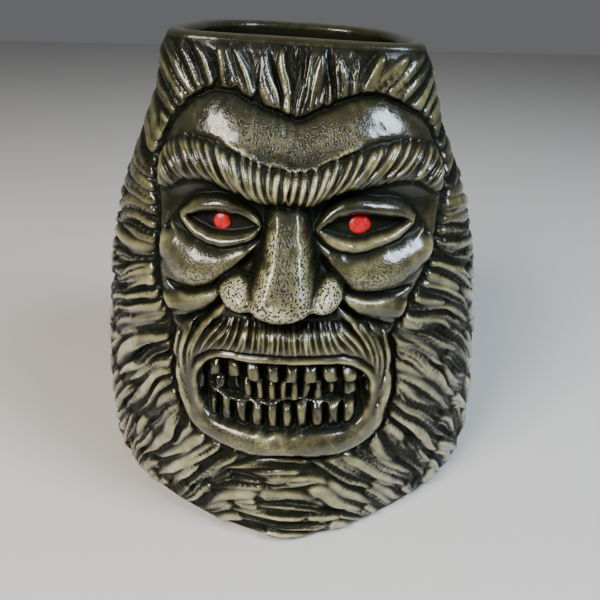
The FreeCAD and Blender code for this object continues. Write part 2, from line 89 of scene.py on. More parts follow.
# --- small helpers ---
def smooth(low, high, value):
    """0 below low, 1 above high, smooth between."""
    t = np.clip((value - low) / (high - low), 0.0, 1.0)
    return t * t * (3.0 - 2.0 * t)


def smooth_max(a, b, width):
    """The larger of two heights, with a fillet of about width between them."""
    share = np.clip(0.5 + 0.5 * (a - b) / width, 0.0, 1.0)
    return b + (a - b) * share + width * share * (1.0 - share)


def bump(x, z, x0, z0, rx, rz):
    """A soft hill, 1 at its middle."""
    return np.exp(-((x - x0) / rx) ** 2 - ((z - z0) / rz) ** 2)


def hills(x, z, rows):
    """The sum of soft hills, and hollows where the amount is below zero."""
    return sum(amount * bump(x, z, *place) for amount, *place in rows)


def dome(distance, power=0.5):
    """A rounded section: 1 on the axis, 0 at distance 1 and beyond."""
    return np.clip(1.0 - distance ** 2, 0.0, 1.0) ** power


def blur(field, sigma_rows, sigma_columns):
    """Gaussian blur of a field on the grid; columns wrap round the mug."""
    for axis, sigma in ((0, sigma_rows), (1, sigma_columns)):
        reach = max(1, int(3 * sigma))
        weights = np.exp(-0.5 * (np.arange(-reach, reach + 1) / sigma) ** 2)
        weights /= weights.sum()
        mode = "edge" if axis == 0 else "wrap"
        pad = [(0, 0), (0, 0)]
        pad[axis] = (reach, reach)
        padded = np.pad(field, pad, mode=mode)
        length = field.shape[axis]
        total = np.zeros_like(field)
        for k, weight in enumerate(weights):
            total += weight * np.take(padded, np.arange(k, k + length), axis=axis)
        field = total
    return field


def spline(points, count=40):
    """A smooth line through a few points, by Catmull-Rom."""
    p = np.array(points, dtype=float)
    p = np.vstack([2 * p[0] - p[1], p, 2 * p[-1] - p[-2]])
    out = []
    for t in np.linspace(0.0, len(points) - 1.0001, count):
        k = int(t)
        u = t - k
        a, b, c, d = p[k], p[k + 1], p[k + 2], p[k + 3]
        out.append(0.5 * (2 * b + (c - a) * u + (2 * a - 5 * b + 4 * c - d) * u**2
                          + (3 * b - a - 3 * c + d) * u**3))
    return np.array(out)


def near_line(x, z, line):
    """Distance from a line of points, place along it from 0 to 1, and which side."""
    best = np.full(x.shape, 1e9)
    along = np.zeros(x.shape)
    side = np.ones(x.shape)
    for k in range(len(line) - 1):
        (x0, z0), (x1, z1) = line[k][:2], line[k + 1][:2]
        dx, dz = x1 - x0, z1 - z0
        t = np.clip(((x - x0) * dx + (z - z0) * dz) / (dx * dx + dz * dz + 1e-12), 0.0, 1.0)
        d = np.hypot(x - x0 - t * dx, z - z0 - t * dz)
        closer = d < best
        best = np.where(closer, d, best)
        along = np.where(closer, (k + t) / (len(line) - 1), along)
        side = np.where(closer, np.sign(dx * (z - z0) - dz * (x - x0)), side)
    return best, along, side


def roll(x, z, rows, power=0.5):
    """The height of a rounded roll through rows of x, z, radius, height."""
    rows = np.array(rows, dtype=float)
    line = spline(rows)
    d, s, _ = near_line(x, z, line)
    places = np.linspace(0, 1, len(line))
    radius = np.interp(s, places, line[:, 2])
    height = np.interp(s, places, line[:, 3])
    return height * dome(d / np.maximum(radius, 0.05), power)


def crease(x, z, points, width, depth):
    """The depth of a groove along a smooth line, fading at its ends."""
    d, s, _ = near_line(x, z, spline(points, 24))
    return depth * np.exp(-(d / width) ** 2) * smooth(0.0, 0.15, s) * smooth(1.0, 0.8, s)


def rounded_box(x, z, half_w, half_h, radius):
    """Signed distance from a rounded rectangle, less than zero inside."""
    qx, qz = np.abs(x) - half_w + radius, np.abs(z) - half_h + radius
    outside = np.hypot(np.maximum(qx, 0), np.maximum(qz, 0))
    return outside + np.minimum(np.maximum(qx, qz), 0) - radius


# --- the vessel's outside, measured on the frame's own vessel ---
def rim_height(x, y):
    """The height of the top of the sloping rim over a point."""
    return RIM_TOP - RIM_RISE + RIM_SLOPE_X * x + RIM_SLOPE_Y * (y - RIM_MIDDLE[1])


class Outside:
    """Radius of the vessel's outside by polar angle and height, from rays cast at the CAD node."""

    def __init__(self):
        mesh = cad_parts["vessel"].data
        points = [v.co / MM for v in mesh.vertices]
        tree = BVHTree.FromPolygons(points, [p.vertices for p in mesh.polygons])
        self.angles = np.radians(np.arange(-270.0, 91.0, 1.5))
        self.heights = np.arange(FOOT_TOP + 0.3, RIM_TOP - 2 * RIM_RISE - LIP_R - 0.6, 1.5)
        radius = np.zeros((len(self.heights), len(self.angles)))
        for i, z in enumerate(self.heights):
            for j, angle in enumerate(self.angles):
                way = Vector((math.cos(angle), math.sin(angle), 0.0))
                hit = tree.ray_cast(way * 200.0 + Vector((0, 0, z)), -way)[0]
                radius[i, j] = math.hypot(hit.x, hit.y)
        self.radius = radius

    def at(self, angle, z):
        """Points at polar angles from -270 to 90 degrees and heights, as three arrays."""
        u = (np.asarray(angle) - self.angles[0]) / (self.angles[1] - self.angles[0])
        v = (np.asarray(z) - self.heights[0]) / (self.heights[1] - self.heights[0])
        i = np.clip(v.astype(int), 0, len(self.heights) - 2)
        j = np.clip(u.astype(int), 0, len(self.angles) - 2)
        a, b = v - i, u - j
        r = ((1 - a) * (1 - b) * self.radius[i, j] + a * (1 - b) * self.radius[i + 1, j]
             + (1 - a) * b * self.radius[i, j + 1] + a * b * self.radius[i + 1, j + 1])
        return r * np.cos(angle), r * np.sin(angle), np.asarray(z) + 0 * r


outside = Outside()


def column_angles():
    """Polar angles of the grid's columns, closer together at the front."""
    fine = np.radians(np.arange(-270.0, 90.0, 0.05))
    x, y, _ = outside.at(fine, np.full(fine.shape, 50.0))
    steps = np.hypot(np.diff(x, append=x[0]), np.diff(y, append=y[0]))
    spacing = FRONT_STEP + (BACK_STEP - FRONT_STEP) * smooth(0.0, 25.0, y)
    count = np.cumsum(steps / spacing)
    wanted = np.arange(0, int(count[-1]))
    return np.interp(wanted, count * (len(wanted) / count[-1]), fine)


class Grid:
    """Base points, normals and push directions of the relief."""

    def __init__(self):
        self.angle = column_angles()
        x, y, _ = outside.at(self.angle, np.full(self.angle.shape, RIM_TOP - 12))
        self.top = rim_height(x, y) - LIP_HIGH
        rows = int((self.top.mean() - FOOT_TOP) / ROW_STEP)
        share = np.linspace(0.0, 1.0, rows)[:, None]
        z = FOOT_TOP + share * (self.top[None, :] - FOOT_TOP)
        angle = np.broadcast_to(self.angle, z.shape)
        x, y, z = outside.at(angle, z)
        self.x, self.y, self.z = blur(x, 3.0, 3.0), blur(y, 3.0, 3.0), z
        self.normal = self.normals(self.x, self.y, self.z)
        self.push = self.push_way()

    @staticmethod
    def normals(x, y, z):
        """Unit normals of a surface given on the grid."""
        p = np.stack([x, y, z], axis=-1)
        around = np.roll(p, -1, axis=1) - np.roll(p, 1, axis=1)
        up = np.gradient(p, axis=0)
        n = np.cross(around, up)
        return n / np.linalg.norm(n, axis=-1, keepdims=True)

    def push_way(self):
        """Straight forward over the face, as a mould parts, and square to the wall elsewhere."""
        forward = (smooth(48.0, 33.0, np.abs(self.x)) * smooth(0.0, -12.0, self.y))[..., None]
        way = (1 - forward) * self.normal * np.array([1, 1, 0.4]) + forward * np.array([0.0, -1.0, 0.0])
        return way / np.linalg.norm(way, axis=-1, keepdims=True)


grid = Grid()
SHAPE = grid.x.shape


def lumps(size_mm, seed):
    """Soft random lumps over the whole grid, about -1 to 1."""
    cells = size_mm / ROW_STEP
    coarse = max(2, int(cells / 2))
    rows, columns = SHAPE[0] // coarse + 3, SHAPE[1] // coarse
    seeds = np.random.default_rng(seed).normal(size=(rows, columns))
    v = np.linspace(0, rows - 2.001, SHAPE[0])
    u = np.linspace(0, columns - 0.001, SHAPE[1])
    i, j = v.astype(int), u.astype(int)
    a, b = smooth(0, 1, v - i)[:, None], smooth(0, 1, u - j)[None, :]
    right = (j + 1) % columns
    low = seeds[i][:, j] * (1 - b) + seeds[i][:, right] * b
    high = seeds[i + 1][:, j] * (1 - b) + seeds[i + 1][:, right] * b
    return low * (1 - a) + high * a


# --- the face: a height over the vessel as a function of x and z ---
# heights are in millimetres over the table and x is half the face; rolls are x, z, radius, height
SKIN = 3.0
MOUTH_CORNER = 8.5      # radius of the corners of the mouth's opening
LIP_WIDTH = 2.6         # from the opening out to where the bristles start
FACE_EDGE = ((0, 122.6), (6, 124.6), (13, 127.4), (20, 128.2), (28, 124.0), (33.8, 116), (36.0, 106),
             (35.4, 95), (34.5, 85), (32.5, 75), (30.0, 64), (28.6, 50), (24.5, 38), (12, 32.5), (0, 33.5))
MUZZLE_TOP, MUZZLE_SIDE, MUZZLE_FOOT = 10.5, 7.2, 8.8      # width of the flesh ring round the mouth
BROW_ROWS = ((-2, 107.0, 5.2, 8.2), (6, 108.1, 5.5, 8.2), (14, 111.0, 5.9, 7.6), (22, 113.0, 6.0, 6.8),
             (29, 112.2, 5.6, 5.8), (34.6, 108.4, 4.4, 4.4))
UPPER_LID = ((7.0, 97.2, 0.9, 2.8), (11.5, 100.8, 2.0, 3.9), (18.0, 102.6, 2.5, 4.7),
             (23.6, 101.9, 2.4, 4.5), (28.2, 98.8, 1.3, 3.3))
LOWER_LID = ((7.2, 96.6, 0.9, 2.6), (11.5, 94.3, 1.8, 3.7), (17.5, 93.0, 2.1, 4.2), (23.6, 94.3, 2.1, 4.2),
             (28.3, 97.9, 1.1, 3.1))
LID_FOLD = ((6.0, 95.0, 0.6, 2.0), (11.0, 90.8, 1.3, 3.2), (18.5, 88.9, 1.5, 3.6), (26.0, 90.4, 1.3, 3.6),
            (31.5, 95.6, 0.8, 3.0))
CHEEK_ROWS = ((12, 90.0, 2.6, 3.6), (18, 87.4, 5.0, 5.4), (25, 87.0, 7.2, 6.4), (31, 90.0, 5.4, 5.2))
FOLDS = (
    ((10.5, 87.8, 1.4, 3.2), (16, 82.8, 3.2, 4.4), (23, 77.8, 4.0, 4.9), (31, 74.4, 3.0, 4.0)),
    ((15.5, 77.8, 1.6, 3.6), (20, 73.4, 3.0, 4.6), (25, 68.2, 3.4, 4.6), (30, 61.0, 2.4, 3.6)),
)
# how much; x and z of the middle; reach in x and z: forehead, then temples, sockets and jaw
HILLS = ((2.7, 14, 116.5, 12.5, 7.5), (1.6, 0, 113, 8, 7), (-1.0, 32, 101, 5, 6),
         (-5.0, 17.5, 99.5, 11.0, 5.6), (-3.6, 7.5, 100.5, 3.0, 4.5), (-1.2, 33, 72, 5, 9))
# lines of x, z; width; depth
CREASES = (
    (((8.0, 92.4), (12.0, 87.4), (19.0, 81.8), (27.0, 79.6), (33.5, 81.5)), 0.75, 2.4),
    (((11.5, 83.6), (17.0, 77.6), (24.0, 72.4), (32.0, 69.0)), 0.7, 2.2),
    (((15.0, 80.5), (19.0, 75.6), (25.5, 68.0), (29.5, 60.0)), 0.8, 2.4),
    (((27.5, 101.0), (30.5, 98.0), (33.8, 93.0)), 0.7, 1.4),
)


def face_gap(x, z):
    """Distance inside the face's edge, less than zero outside it; both halves at once."""
    line = spline([(-FACE_EDGE[1][0], FACE_EDGE[1][1])] + list(FACE_EDGE), 90)
    d, _, side = near_line(x, z, line)
    return np.where(side < 0, d, -d)


def mouth_gap(x, z):
    """Distance outside the mouth's opening, less than zero in the mouth."""
    return rounded_box(x, z - MOUTH_Z, MOUTH_HALF_W, MOUTH_HALF_H, MOUTH_CORNER)


def muzzle_width(z):
    """Width of the flesh ring beside the mouth's opening."""
    width = MUZZLE_SIDE + (MUZZLE_TOP - MUZZLE_SIDE) * smooth(MOUTH_Z + 5, MOUTH_Z + 14, z)
    return width + (MUZZLE_FOOT - MUZZLE_SIDE) * smooth(MOUTH_Z - 6, MOUTH_Z - 14, z)


NOSE_TIP_Z = 81.6
# z; half width of the ridge's flat top and of its foot; how far it stands out
NOSE_ROWS = ((78, 4.4, 12.0, 13.2), (81.5, 5.0, 13.6, 15.4), (85, 4.2, 12.2, 15.0), (91, 2.8, 9.2, 12.0),
             (98, 2.1, 7.2, 8.2), (NOSE_TOP + 1, 2.2, 6.2, 5.6))


def nose_height(x, z):
    """The nose over the vessel: a flat-topped ridge that widens to the ball, and its wings."""
    rows, ax = np.array(NOSE_ROWS), np.abs(x)
    top, foot, high = (np.interp(z, rows[:, 0], rows[:, k]) for k in (1, 2, 3))
    ridge = high * smooth(foot, top, ax) ** 0.85
    end = dome(np.clip((80.5 - z) / 4.4, 0, 1), 0.6)
    ridge = ridge * end * smooth(NOSE_TOP + 5, NOSE_TOP - 3, z)
    wing_d = np.sqrt(((ax - 10.2) / 7.0) ** 2 + ((z - NOSE_TIP_Z - 0.12 * (ax - 11.0)) / 5.6) ** 2)
    wing = 12.2 * dome(wing_d, 0.55)
    ball_d = np.sqrt((x / 8.6) ** 2 + ((z - NOSE_TIP_Z) / 5.6) ** 2)
    ball = 15.9 * dome(ball_d * 0.95, 0.42)
    return smooth_max(smooth_max(ridge, wing, 2.6), ball, 1.8)


EYE_RADIUS = 9.5
EYE_OUT = 1.3           # how far the eyeball's middle stands out


def eye_height(x, z):
    """The eyeball in its socket."""
    inside = EYE_RADIUS ** 2 - (x - EYE_X) ** 2 - (z - EYE_Z) ** 2
    return EYE_OUT + np.sqrt(np.clip(inside, 0, None)) - EYE_RADIUS


# middle over the mouth's; half height; pitch; half width as a share of it; how far out; shift; then
# the distances from the middle between which the row comes and goes
TEETH_ROWS = (
    (6.9, 2.9, 5.3, 0.39, 4.4, 0.0, None), (1.3, 3.3, 3.3, 0.36, 2.8, 1.4, (12.5, 10.5)),
    (1.6, 2.4, 6.0, 0.30, 2.4, 2.5, (12.0, 13.5)), (-6.3, 3.8, 4.3, 0.38, 3.4, 0.7, (21.5, 20.0)),
)


def teeth_height(x, z):
    """Gums, the rows of teeth and the line where they meet, over the vessel."""
    floor = 0.15 + 0.30 * np.sin(x * 0.9 + 1.0) * np.sin(z * 0.7) + 0.22 * np.sin(x * 2.1 + z)
    bite = MOUTH_Z - 2.3 + 0.7 * np.sin(x / 4.2 + 0.8) + 0.4 * np.sin(x / 1.9)
    best = 2.6 * np.exp(-((z - bite) / 0.5) ** 2) * smooth(21.0, 17.0, np.abs(x + 2.0))
    for over, half_h, pitch, share, out, shift, ends in TEETH_ROWS:
        row = tooth_row(x, z, MOUTH_Z + over, half_h, pitch, share, out, shift)
        if ends:
            row = row * smooth(*ends, np.abs(x))
        best = np.maximum(best, row)
    return floor + best


def tooth_row(x, z, z0, half_h, pitch, share, height, shift):
    """One row of rounded teeth, each a little different."""
    number = np.floor((x + shift) / pitch)
    offset = (x + shift) - (number + 0.5) * pitch
    odd = np.sin(number * 12.9898) * 0.5        # a fixed odd number for each tooth
    wide = pitch * share * (1.0 + 0.14 * odd)
    tall = half_h * (1.0 + 0.12 * np.sin(number * 78.233))
    across = np.clip(np.abs(offset - 0.25 * odd) / wide, 0, 1)
    up = np.clip(np.abs(z - z0 - 0.4 * odd) / tall, 0, 1)
    return height * (1.0 + 0.22 * odd) * dome(across ** 1.8, 0.5) * dome(up ** 2.2, 0.5)


def skin_height(x, z, edge):
    """Forehead, sockets, cheeks, the folds beside the nose and the creases."""
    edge_width = 2.6 + 3.2 * smooth(112, 120, z)
    h = SKIN * dome(np.clip(1.0 - edge / edge_width, 0.0, 1.0), 0.5)
    h = h + (edge > 0) * hills(x, z, HILLS)
    for rows in (CHEEK_ROWS,) + FOLDS:
        h = smooth_max(h, roll(x, z, rows, 0.6), 1.6)
    for points, width, depth in CREASES:
        h = h - crease(x, z, points, width, depth)
    return h


def add_eyes(h, label, x, z):
    """Lay the eyeballs, the fold under them and the lids on the face."""
    ball = np.where((x - EYE_X) ** 2 / 110 + (z - EYE_Z) ** 2 / 30 < 1, eye_height(x, z), -9)
    label = np.where(ball > h, "eyeball", label)
    h = np.maximum(h, ball)
    h = smooth_max(h, roll(x, z, LID_FOLD, 0.6), 0.8)
    for name, rows in (("upper_lid", UPPER_LID), ("lower_lid", LOWER_LID)):
        lid = roll(x, z, rows, 0.5)
        label = np.where(lid > h, name, label)
        h = np.maximum(h, lid)
    return h, label


def add_nose_and_brow(h, label, x, z):
    """Lay the nose, its nostrils and the brow roll on the face."""
    nose = nose_height(x, z)
    label = np.where((nose > h - 0.3) & (nose > 3), "nose", label)
    h = smooth_max(h, nose, 1.3)
    h = h - 5.5 * bump(x, z, 8.8, 77.0, 4.0, 1.8)
    brow = roll(x, z, BROW_ROWS, 0.42)
    label = np.where(brow > h, "brow", label)
    h = np.maximum(h, brow)
    crest = [(r[0], r[1] + 0.93 * r[2], 0.8, 1.0) for r in BROW_ROWS[:4]]
    return h + 1.3 * roll(x, z, crest, 0.6) * smooth(20, 12, x), label


def add_mouth(h, x_signed, z, ring, width):
    """Lay the flesh round the mouth on the face, and sink the teeth into it."""
    out = 6.4 - 0.9 * smooth(12, 26, np.abs(x_signed))
    flesh = out * dome(np.clip(np.abs(2 * ring / width - 0.86) / 1.14, 0, 1), 0.45)
    h = np.where(ring > 0, smooth_max(h, flesh, 0.7), h)
    lip_line = ring - LIP_WIDTH
    h = h - 0.9 * np.exp(-(lip_line / 0.5) ** 2) * smooth(MOUTH_Z + 5, MOUTH_Z + 9, z)
    rim = smooth(-2.2, 0.3, ring)
    return np.where(ring < 0.3, teeth_height(x_signed, z) * (1 - rim) + h * rim, h)


def name_mouth(label, z, ring, width):
    """Name the lips, the moustache and the teeth."""
    label = np.where((ring < width) & (z < MOUTH_Z + 2), "lower_lip", label)
    bristly = (ring > LIP_WIDTH) & (ring < width + 0.5) & (z > MOUTH_Z - 12) & (label != "nose")
    label = np.where(bristly, "moustache", label)
    label = np.where((ring <= LIP_WIDTH) & (z > MOUTH_Z), "upper_lip", label)
    return np.where(ring <= 0, np.where(z > MOUTH_Z - 1.3, "upper_teeth", "lower_teeth"), label)


def face_height(x_signed, z):
    """The face over the vessel, how far inside its edge each point is, the mouth's gap and the part."""
    x = np.abs(x_signed)
    edge = face_gap(x, z)
    ring = mouth_gap(x_signed, z)
    h = skin_height(x, z, edge)
    label = np.where(roll(x, z, CHEEK_ROWS, 0.6) > 2.0, "cheek", "face_plate").astype("U12")
    h, label = add_eyes(h, label, x, z)
    h, label = add_nose_and_brow(h, label, x, z)
    width = muzzle_width(z) - 1.5 * bump(x_signed, z, 0, MOUTH_Z - 20, 6, 8)
    h = add_mouth(h, x_signed, z, ring, width)
    label = name_mouth(label, z, ring, width)
    paired = np.isin(label, ("cheek", "eyeball", "upper_lid", "lower_lid"))
    label = np.where(paired, np.char.add(np.where(x_signed > 0, "right_", "left_"), label), label)
    return h, np.maximum(edge, width - np.maximum(ring, 0)), ring, label


def turned(x, z):
    """How far the face's own middle lies from the mug's: nose and mouth are off centre, one cheek wide."""
    lower = 2.0 * np.exp(-((z - MOUTH_Z - 8) / 30) ** 2) + 1.3 * np.exp(-((z - 81) / 9) ** 2)
    brow = 1.6 * np.exp(-((z - 107) / 9) ** 2 - (x / 15) ** 2)
    wide = -4.4 * smooth(17, 35, x) * smooth(64, 84, z) * smooth(132, 122, z)
    return lower + brow + wide


# the face is worked out on the front of the grid only, on slightly warped places
FRONT = np.where((grid.angle > math.radians(-176)) & (grid.angle < math.radians(-4)))[0]
FAR = 60.0              # stands for "well away" where the face isn't worked out
warp_x = grid.x + turned(grid.x, grid.z) + 0.5 * lumps(22, 1) + 0.12 * lumps(5, 2)
warp_z = grid.z + 0.45 * lumps(24, 3) + 0.12 * lumps(5, 4)
face_h = np.zeros(SHAPE)
face_in = np.full(SHAPE, -FAR)
mouth_ring = np.full(SHAPE, FAR)
part = np.full(SHAPE, "mane", dtype="U16")
found = face_height(warp_x[:, FRONT], warp_z[:, FRONT])
for whole, window in zip((face_h, face_in, mouth_ring, part), found):
    whole[:, FRONT] = window


# --- strands ---
ROW_SCALE = (grid.top.mean() - FOOT_TOP) / (SHAPE[0] - 1)       # the mean spacing of the rows
BASE = np.stack([grid.x, grid.y, grid.z], axis=-1)


def stroke(field, line, half_width, height, power):
    """Raise the field to a leaf-shaped ridge along a line of x, y, z points."""
    line = np.array(line)
    reach = half_width * 1.3
    z_low, z_high = line[:, 2].min() - reach, line[:, 2].max() + reach
    r0 = int(np.clip((z_low - FOOT_TOP) / ROW_SCALE - 3, 0, SHAPE[0] - 1))
    r1 = int(np.clip((z_high - FOOT_TOP) / ROW_SCALE + 4, r0 + 1, SHAPE[0]))
    middle = line[len(line) // 2]
    bearing = np.unwrap(np.arctan2(line[:, 1], line[:, 0]))
    bearing += round((math.atan2(middle[1], middle[0]) - bearing[len(line) // 2]) / math.tau) * math.tau
    spread = reach / np.hypot(line[:, 0], line[:, 1]).min()
    low, high = bearing.min() - spread, bearing.max() + spread
    columns = np.where((grid.angle - low) % math.tau < high - low)[0]
    box = np.ix_(np.arange(r0, r1), columns)
    p = BASE[box]
    best = np.full(p.shape[:2], 1e9)
    along = np.zeros(p.shape[:2])
    for k in range(len(line) - 1):
        step = line[k + 1] - line[k]
        rel = p - line[k]
        t = np.clip(rel @ step / (step @ step), 0.0, 1.0)
        off = rel - t[..., None] * step
        d = np.sqrt((off ** 2).sum(axis=-1))
        closer = d < best
        best = np.where(closer, d, best)
        along = np.where(closer, (k + t) / (len(line) - 1), along)
    leaf = np.clip(along / 0.12 + 0.15, 0.0, 1.0) ** 0.6 * np.clip(1.0 - along ** 2.4, 0.0, 1.0) ** 0.7
    ridge = height * leaf ** 0.6 * dome(best / np.maximum(half_width * leaf, 0.02), power)
    field[box] = np.maximum(field[box], ridge)


def on_face(x, z):
    """Base points of the front at places x, z."""
    points = []
    for px, pz in zip(x, z):
        row = int(np.clip((pz - FOOT_TOP) / ROW_SCALE, 0, SHAPE[0] - 1))
        line = grid.x[row, FRONT]
        column = int(np.searchsorted(line, px))
        column = min(max(column, 1), len(line) - 1)
        share = (px - line[column - 1]) / max(line[column] - line[column - 1], 1e-6)
        y = grid.y[row, FRONT]
        points.append((px, y[column - 1] + share * (y[column] - y[column - 1]), pz))
    return np.array(points)


def mirrored_stroke(field, side, x, z, half_width, height, power):
    """A strand at places on half the face, on its right (1) or left (-1) side, as the face is turned."""
    x = side * x - turned(side * x, z)
    stroke(field, on_face(x, z), half_width, height, power)


def brow_strands():
    """Strands across the brow roll, from its outer top to its inner foot."""
    field = np.zeros(SHAPE)
    line = spline(np.array(BROW_ROWS, dtype=float), 60)
    rng = np.random.default_rng(11)
    for side in (-1, 1):
        for place in np.arange(0.035, 0.99, 0.0525):
            s = place + rng.uniform(-0.008, 0.008)
            x, z, radius, _ = (np.interp(s, np.linspace(0, 1, 60), line[:, k]) for k in range(4))
            lean = 0.15 + 0.55 * smooth(0.0, 16.0, x) + rng.uniform(-0.13, 0.13)
            t = np.linspace(-1, 1, 7)
            bend = 0.16 * radius * (1 - t ** 2)
            px = x + radius * (-t * lean) * 0.9 + bend
            pz = z - t * radius * 1.02 + rng.uniform(-0.8, 0.8)
            width = rng.uniform(0.68, 1.1)
            mirrored_stroke(field, side, px, pz, width, rng.uniform(0.8, 1.2), 0.85)
    return field


def ring_place(p, offset):
    """A place beside the mouth's opening: p mm along its edge from the top middle, offset outwards."""
    r = MOUTH_CORNER
    flat, drop = MOUTH_HALF_W - r, MOUTH_HALF_H - r
    if p < flat:
        return p, MOUTH_Z + MOUTH_HALF_H + offset
    if p < flat + r * math.pi / 2:
        turn = (p - flat) / r
        reach = r + offset
        return flat + reach * math.sin(turn), MOUTH_Z + drop + reach * math.cos(turn)
    return MOUTH_HALF_W + offset, MOUTH_Z + drop - (p - flat - r * math.pi / 2)


def moustache_strands():
    """Bristles over the upper lip, which swing round to run down both sides of the mouth."""
    field = np.zeros(SHAPE)
    rng = np.random.default_rng(23)
    for side in (-1, 1):
        for root in np.arange(0.5, 33.0, 1.35):
            shift = 0.6 + 11.0 * smooth(4.0, 26.0, root)
            jitter = rng.uniform(-0.3, 0.3)
            steps = np.linspace(0, 1, 8)
            outer = MUZZLE_TOP + (MUZZLE_SIDE - MUZZLE_TOP) * smooth(17, 32, root) + rng.uniform(0.1, 1.4)
            inner = LIP_WIDTH + rng.uniform(-0.2, 0.5)
            start, reach = root + jitter, inner - outer
            places = [ring_place(start + shift * t ** 1.3, outer + reach * t) for t in steps]
            x, z = np.array(places).T
            mirrored_stroke(field, side, x, z, rng.uniform(0.62, 0.88), rng.uniform(0.75, 1.2), 0.9)
        for k in range(4):
            start = 27.0 + rng.uniform(-1, 1) + 2.5 * k
            offset = MUZZLE_SIDE + 0.6 - 1.5 * k
            places = [ring_place(start + 13.0 * t, offset - 0.8 * t) for t in np.linspace(0, 1, 8)]
            x, z = np.array(places).T
            mirrored_stroke(field, side, x, z, 0.95, 0.9, 0.85)
    return field


# --- the hair ---
# degrees above the horizontal in which the mane runs, away from the face, by height
MANE_WAY = ((15, -50), (30, -52), (45, -46), (60, -36), (75, -28), (90, -15), (100, 0), (110, 16), (120, 32),
            (130, 46))
CROWN_FAN = 1.65        # degrees that the crown's hair leans for each mm from the middle
TUFT_PITCH = 4.5        # between neighbouring tufts
TUFT_STEP = 2.0         # between the points along a tuft
TUFT_ROOM = 0.62        # how far each keeps others off, as a share of the pitch
TUFT_WIDTH = (0.50, 0.68)               # half widths, as a share of the pitch
TUFT_LENGTH = (20.0, 42.0)
TUFT_HEIGHT = (2.0, 3.4)
AROUND = np.abs(np.degrees(np.broadcast_to(grid.angle, SHAPE)) + 90.0)
AROUND = np.minimum(AROUND, 360.0 - AROUND)     # degrees round from the front, either way
SIDE = np.where(grid.x >= 0, 1.0, -1.0)
ROW_MM = (grid.top - FOOT_TOP) / (SHAPE[0] - 1)
COLUMN_MM = np.linalg.norm(np.roll(BASE, -1, axis=1) - BASE, axis=-1)


def hair_way():
    """The angle above the horizontal in which the hair runs, away from the middle of the face."""
    heights, ways = np.array(MANE_WAY).T
    x, z = np.abs(grid.x), grid.z
    front = smooth(8.0, -8.0, grid.y)
    way = np.interp(z, heights, ways)
    way = way + (90.0 - CROWN_FAN * x - way) * front * smooth(110, 120, z) * smooth(48, 32, x)
    way = way * (1 - front * smooth(44, 28, z) * (1 - np.clip(x / 27.0, 0, 1)))
    way = way + (-90.0 - way) * smooth(75.0, 160.0, AROUND)
    return np.radians(way + 11.0 * lumps(16, 61) + 5.0 * lumps(7, 62))


WAY = hair_way()


def cell(row, column):
    """The grid cell nearest to a place."""
    return np.clip(np.rint(row).astype(int), 0, SHAPE[0] - 1), np.rint(column).astype(int) % SHAPE[1]


def flow_step(row, column, length, before=None):
    """One step along the hair in rows and columns, onwards from the step before."""
    i, j = cell(row, column)
    up = np.sin(WAY[i, j]) * length / ROW_MM[j]
    across = np.cos(WAY[i, j]) * SIDE[i, j] * length / COLUMN_MM[i, j]
    if before is not None:
        turn = np.where(up * before[0] + across * before[1] < 0, -1.0, 1.0)
        up, across = up * turn, across * turn
    return up, across


def combed(seed, grain, steps=22, length=0.8):
    """Noise drawn out along the hair into long fine strands, about -2 to 2."""
    noise = blur(np.random.default_rng(seed).normal(size=SHAPE), grain, grain)
    total = noise.copy()
    for sign in (1.0, -1.0):
        row, column = np.indices(SHAPE).astype(float)
        step = None
        for k in range(1, steps + 1):
            step = flow_step(row, column, sign * length, step)
            row, column = row + step[0], column + step[1]
            total += 0.5 * (1 + math.cos(math.pi * k / (steps + 1))) * noise[cell(row, column)]
    return np.clip(total / total.std(), -2.0, 2.0)


def grow_tuft(row, column, length, taken, sign=1.0):
    """Grid places along one tuft from its root, until it is full length or meets another."""
    places, step = [], None
    for _ in range(int(length / TUFT_STEP) + 1):
        i, j = int(round(row)), int(round(column)) % SHAPE[1]
        if not 0 <= i < SHAPE[0] - 1 or taken[i, j] or face_in[i, j] > -0.4:
            break
        places.append((row, column))
        step = flow_step(row, column, TUFT_STEP * sign, step)
        row, column = row + step[0], column + step[1]
    return places


def claim(taken, places):
    """Mark the room round a tuft, apart from its root and its end, where others may lie over it."""
    reach = TUFT_PITCH * TUFT_ROOM
    for row, column in places[1:-2]:
        i, j = int(round(row)), int(round(column))
        rows = np.arange(max(i - int(reach / ROW_STEP), 0), min(i + int(reach / ROW_STEP) + 1, SHAPE[0]))
        wide = COLUMN_MM[i, j % SHAPE[1]]
        columns = np.arange(j - int(reach / wide), j + int(reach / wide) + 1)
        up, across = (rows[:, None] - row) * ROW_STEP, (columns[None, :] - column) * wide
        near = up ** 2 + across ** 2 < reach ** 2
        taken[np.ix_(rows, columns % SHAPE[1])] |= near


def grid_point(row, column):
    """The base point between the grid's own."""
    i, j = min(int(row), SHAPE[0] - 2), int(math.floor(column))
    a, b = row - i, column - j
    j, k = j % SHAPE[1], (j + 1) % SHAPE[1]
    low = BASE[i, j] * (1 - b) + BASE[i, k] * b
    return low * (1 - a) + (BASE[i + 1, j] * (1 - b) + BASE[i + 1, k] * b) * a


def tuft_roots(rng):
    """Places where tufts may start: the beard's middle, round the face, then everywhere from it."""
    middle = np.argwhere((np.abs(grid.x) < 7) & (grid.z < 33) & (grid.y < 0))
    edge = np.argwhere((face_in > -1.5) & (face_in < -0.7))
    spread = np.argwhere(np.ones((SHAPE[0] // 3, SHAPE[1] // 3), dtype=bool)) * 3
    order = np.argsort(AROUND[spread[:, 0], spread[:, 1]] - 0.12 * spread[:, 0], kind="stable")
    starts = {"middle": rng.permutation(middle)[:400], "edge": edge[::2], "spread": spread[order]}
    for kind, places in starts.items():
        for row, column in places:
            yield kind, float(row), float(column)


